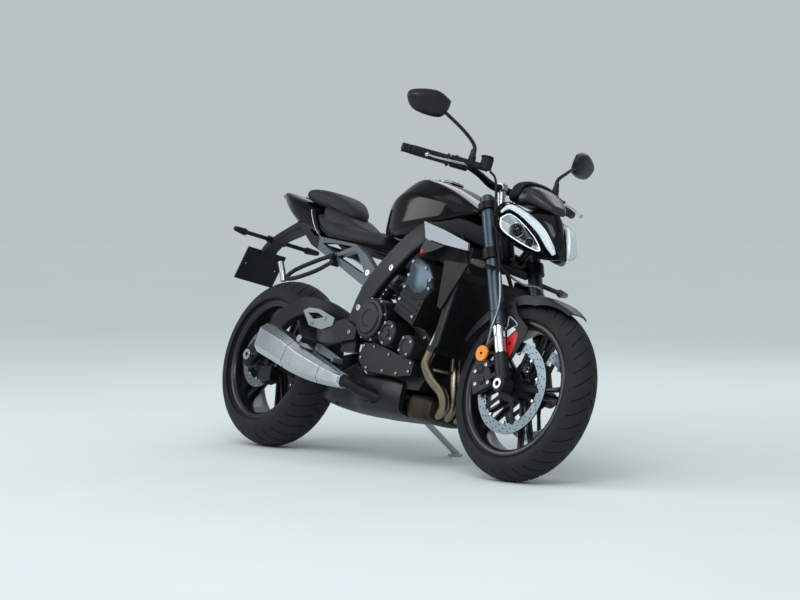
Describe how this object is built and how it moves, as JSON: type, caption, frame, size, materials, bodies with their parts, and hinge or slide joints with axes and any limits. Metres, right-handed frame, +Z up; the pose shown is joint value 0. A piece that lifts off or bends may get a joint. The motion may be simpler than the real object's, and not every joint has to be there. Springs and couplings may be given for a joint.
{
  "type": "standard motorcycle",
  "caption": "Unfaired road motorcycle with twin headlamps and a low side silencer, parked leaning on its side stand; the steering turns, both wheels roll and the stand folds.",
  "frame": {"origin": "on the ground, under the middle of the outline", "axes": "+X towards the front of the machine, +Y towards its left side, +Z up"},
  "size_m": [2.0165, 0.9275, 1.2999],
  "materials": {
    "graphite_paint": "satin graphite paint",
    "silver_paint": "satin silver paint",
    "engine_paint": "satin dark grey paint",
    "cover_paint": "satin black paint",
    "black_plastic": "grained",
    "grey_plastic": "satin",
    "black_gloss": "gloss black paint",
    "seat_cover": "matte grained vinyl",
    "red_lens": "clear red",
    "amber_lens": "clear amber",
    "clear_lens": "clear",
    "steel": "machined",
    "caliper_black": "black anodised",
    "pipe_steel": "heat tinted",
    "silencer_steel": "brushed",
    "aluminium": "satin",
    "fork_anodised": "anodised",
    "grip_rubber": "matte",
    "tyre": "matte",
    "wheel_paint": "satin black paint",
    "disc_steel": "ground"
  },
  "bodies": {
    "chassis": {"main_frame": "graphite_paint", "subframe": "silver_paint", "engine": "engine_paint", "engine_covers": "cover_paint", "radiator": "black_plastic", "side_panels": "silver_paint", "fuel_tank": "black_gloss", "air_box": "black_plastic", "rider_seat": "seat_cover", "pillion_seat": "seat_cover", "tail_cowl": "black_gloss", "tail_light": "red_lens", "plate_holder": "black_plastic", "rear_indicators": "amber_lens", "swingarm": "graphite_paint", "rear_axle": "steel", "rear_caliper": "caliper_black", "chain": "steel", "rear_shock": "steel", "exhaust_headers": "pipe_steel", "silencer": "silencer_steel", "belly_pan": "black_plastic", "footrests": "graphite_paint", "heel_guards": "aluminium", "foot_pedals": "aluminium", "pillion_hangers": "graphite_paint", "stand_bracket": "graphite_paint"},
    "steering": {"front_axle": "steel", "fork_tubes": "fork_anodised", "fork_bottoms": "graphite_paint", "yokes": "graphite_paint", "handlebar": "graphite_paint", "grips": "grip_rubber", "bar_controls": "black_plastic", "levers": "aluminium", "mirrors": "black_plastic", "headlamps": "clear_lens", "headlamp_cowl": "black_plastic", "instrument": "black_plastic", "front_mudguard": "grey_plastic", "front_calipers": "caliper_black", "brake_hoses": "grip_rubber", "front_reflectors": "amber_lens", "front_indicators": "amber_lens"},
    "front_wheel": {"front_tyre": "tyre", "front_rim": "wheel_paint", "front_discs": "disc_steel"},
    "rear_wheel": {"rear_tyre": "tyre", "rear_rim": "wheel_paint", "rear_disc": "disc_steel", "rear_sprocket": "disc_steel"},
    "side_stand": {"side_stand": "aluminium"}
  },
  "joints": [
    {"name": "steering", "type": "hinge", "parent": "chassis", "child": "steering", "pos_m": [0.45624, -0.07615, 0.77524], "axis": [-0.4006, 0.2341, 0.8859], "range_deg": [-30.3, 23.7]},
    {"name": "front_wheel_spin", "type": "hinge", "parent": "steering", "child": "front_wheel", "pos_m": [0.70891, -0.20233, 0.29068], "axis": [-0.0527, 0.9593, -0.2773], "continuous": true},
    {"name": "rear_wheel_spin", "type": "hinge", "parent": "chassis", "child": "rear_wheel", "pos_m": [-0.69302, -0.19967, 0.30771], "axis": [0, 0.9668, -0.2554], "continuous": true},
    {"name": "side_stand_fold", "type": "hinge", "parent": "chassis", "child": "side_stand", "pos_m": [-0.00319, -0.09269, 0.16459], "axis": [0.0013, 0.6765, 0.7365], "range_deg": [0, 90]}
  ]
}
